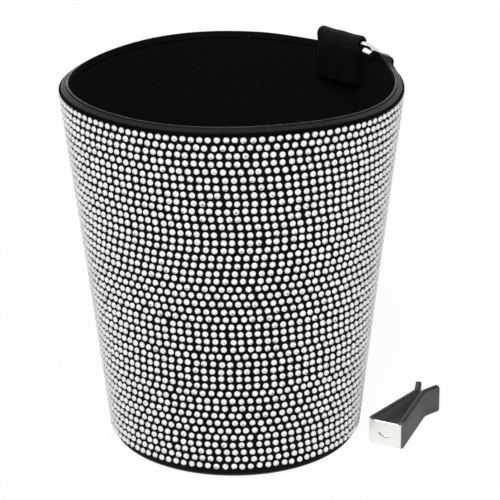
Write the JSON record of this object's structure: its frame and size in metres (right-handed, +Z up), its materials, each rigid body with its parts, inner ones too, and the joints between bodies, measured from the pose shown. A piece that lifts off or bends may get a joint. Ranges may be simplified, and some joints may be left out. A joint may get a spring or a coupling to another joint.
{
  "type": "car trash bin",
  "caption": "Round tapered car trash bin with rows of stones around its wall, a webbing loop with a D-ring at the rim, and a vent clip that hangs it.",
  "frame": {"origin": "centre of the bin's base, on the surface that it stands on", "axes": "+Z up along the bin's axis, +Y towards the hang loop and its D-ring at the back of the rim, +X to the right of someone who faces the loop from across the mouth"},
  "size_m": [0.1396, 0.151, 0.167],
  "materials": {
    "shell": "matte moulded polypropylene",
    "outer_sheet": "matte black coated sheet",
    "rhinestones": "faceted foil-backed stones",
    "base_cover": "dark coated sheet",
    "lining": "black woven lining",
    "seam_tape": "smooth black tape",
    "binding": "smooth dark grey coated binding",
    "webbing": "black ribbed webbing",
    "thread": "black sewing thread",
    "ring_metal": "bright nickel plated wire",
    "clip_metal": "plated spring steel strip",
    "clip_sleeve": "dark grey soft sleeve"
  },
  "bodies": {
    "bin": {"shell": "shell", "outer_sheet": "outer_sheet", "rhinestone_rows": "rhinestones", "base_cover": "base_cover", "lining_wall": "lining", "lining_floor": "lining", "lining_seam_tape": "seam_tape", "rim_binding": "binding", "hang_loop": "webbing", "loop_stitches": "thread", "clip_strip": "clip_metal", "clip_sleeve_left": "clip_sleeve", "clip_sleeve_right": "clip_sleeve"},
    "ring": {"d_ring": "ring_metal"}
  },
  "joints": [
    {"name": "ring_swing", "type": "hinge", "parent": "bin", "child": "ring", "pos_m": [0, 0.06388, 0.1639], "axis": [1, 0, 0], "range_deg": [-14, 274]}
  ]
}
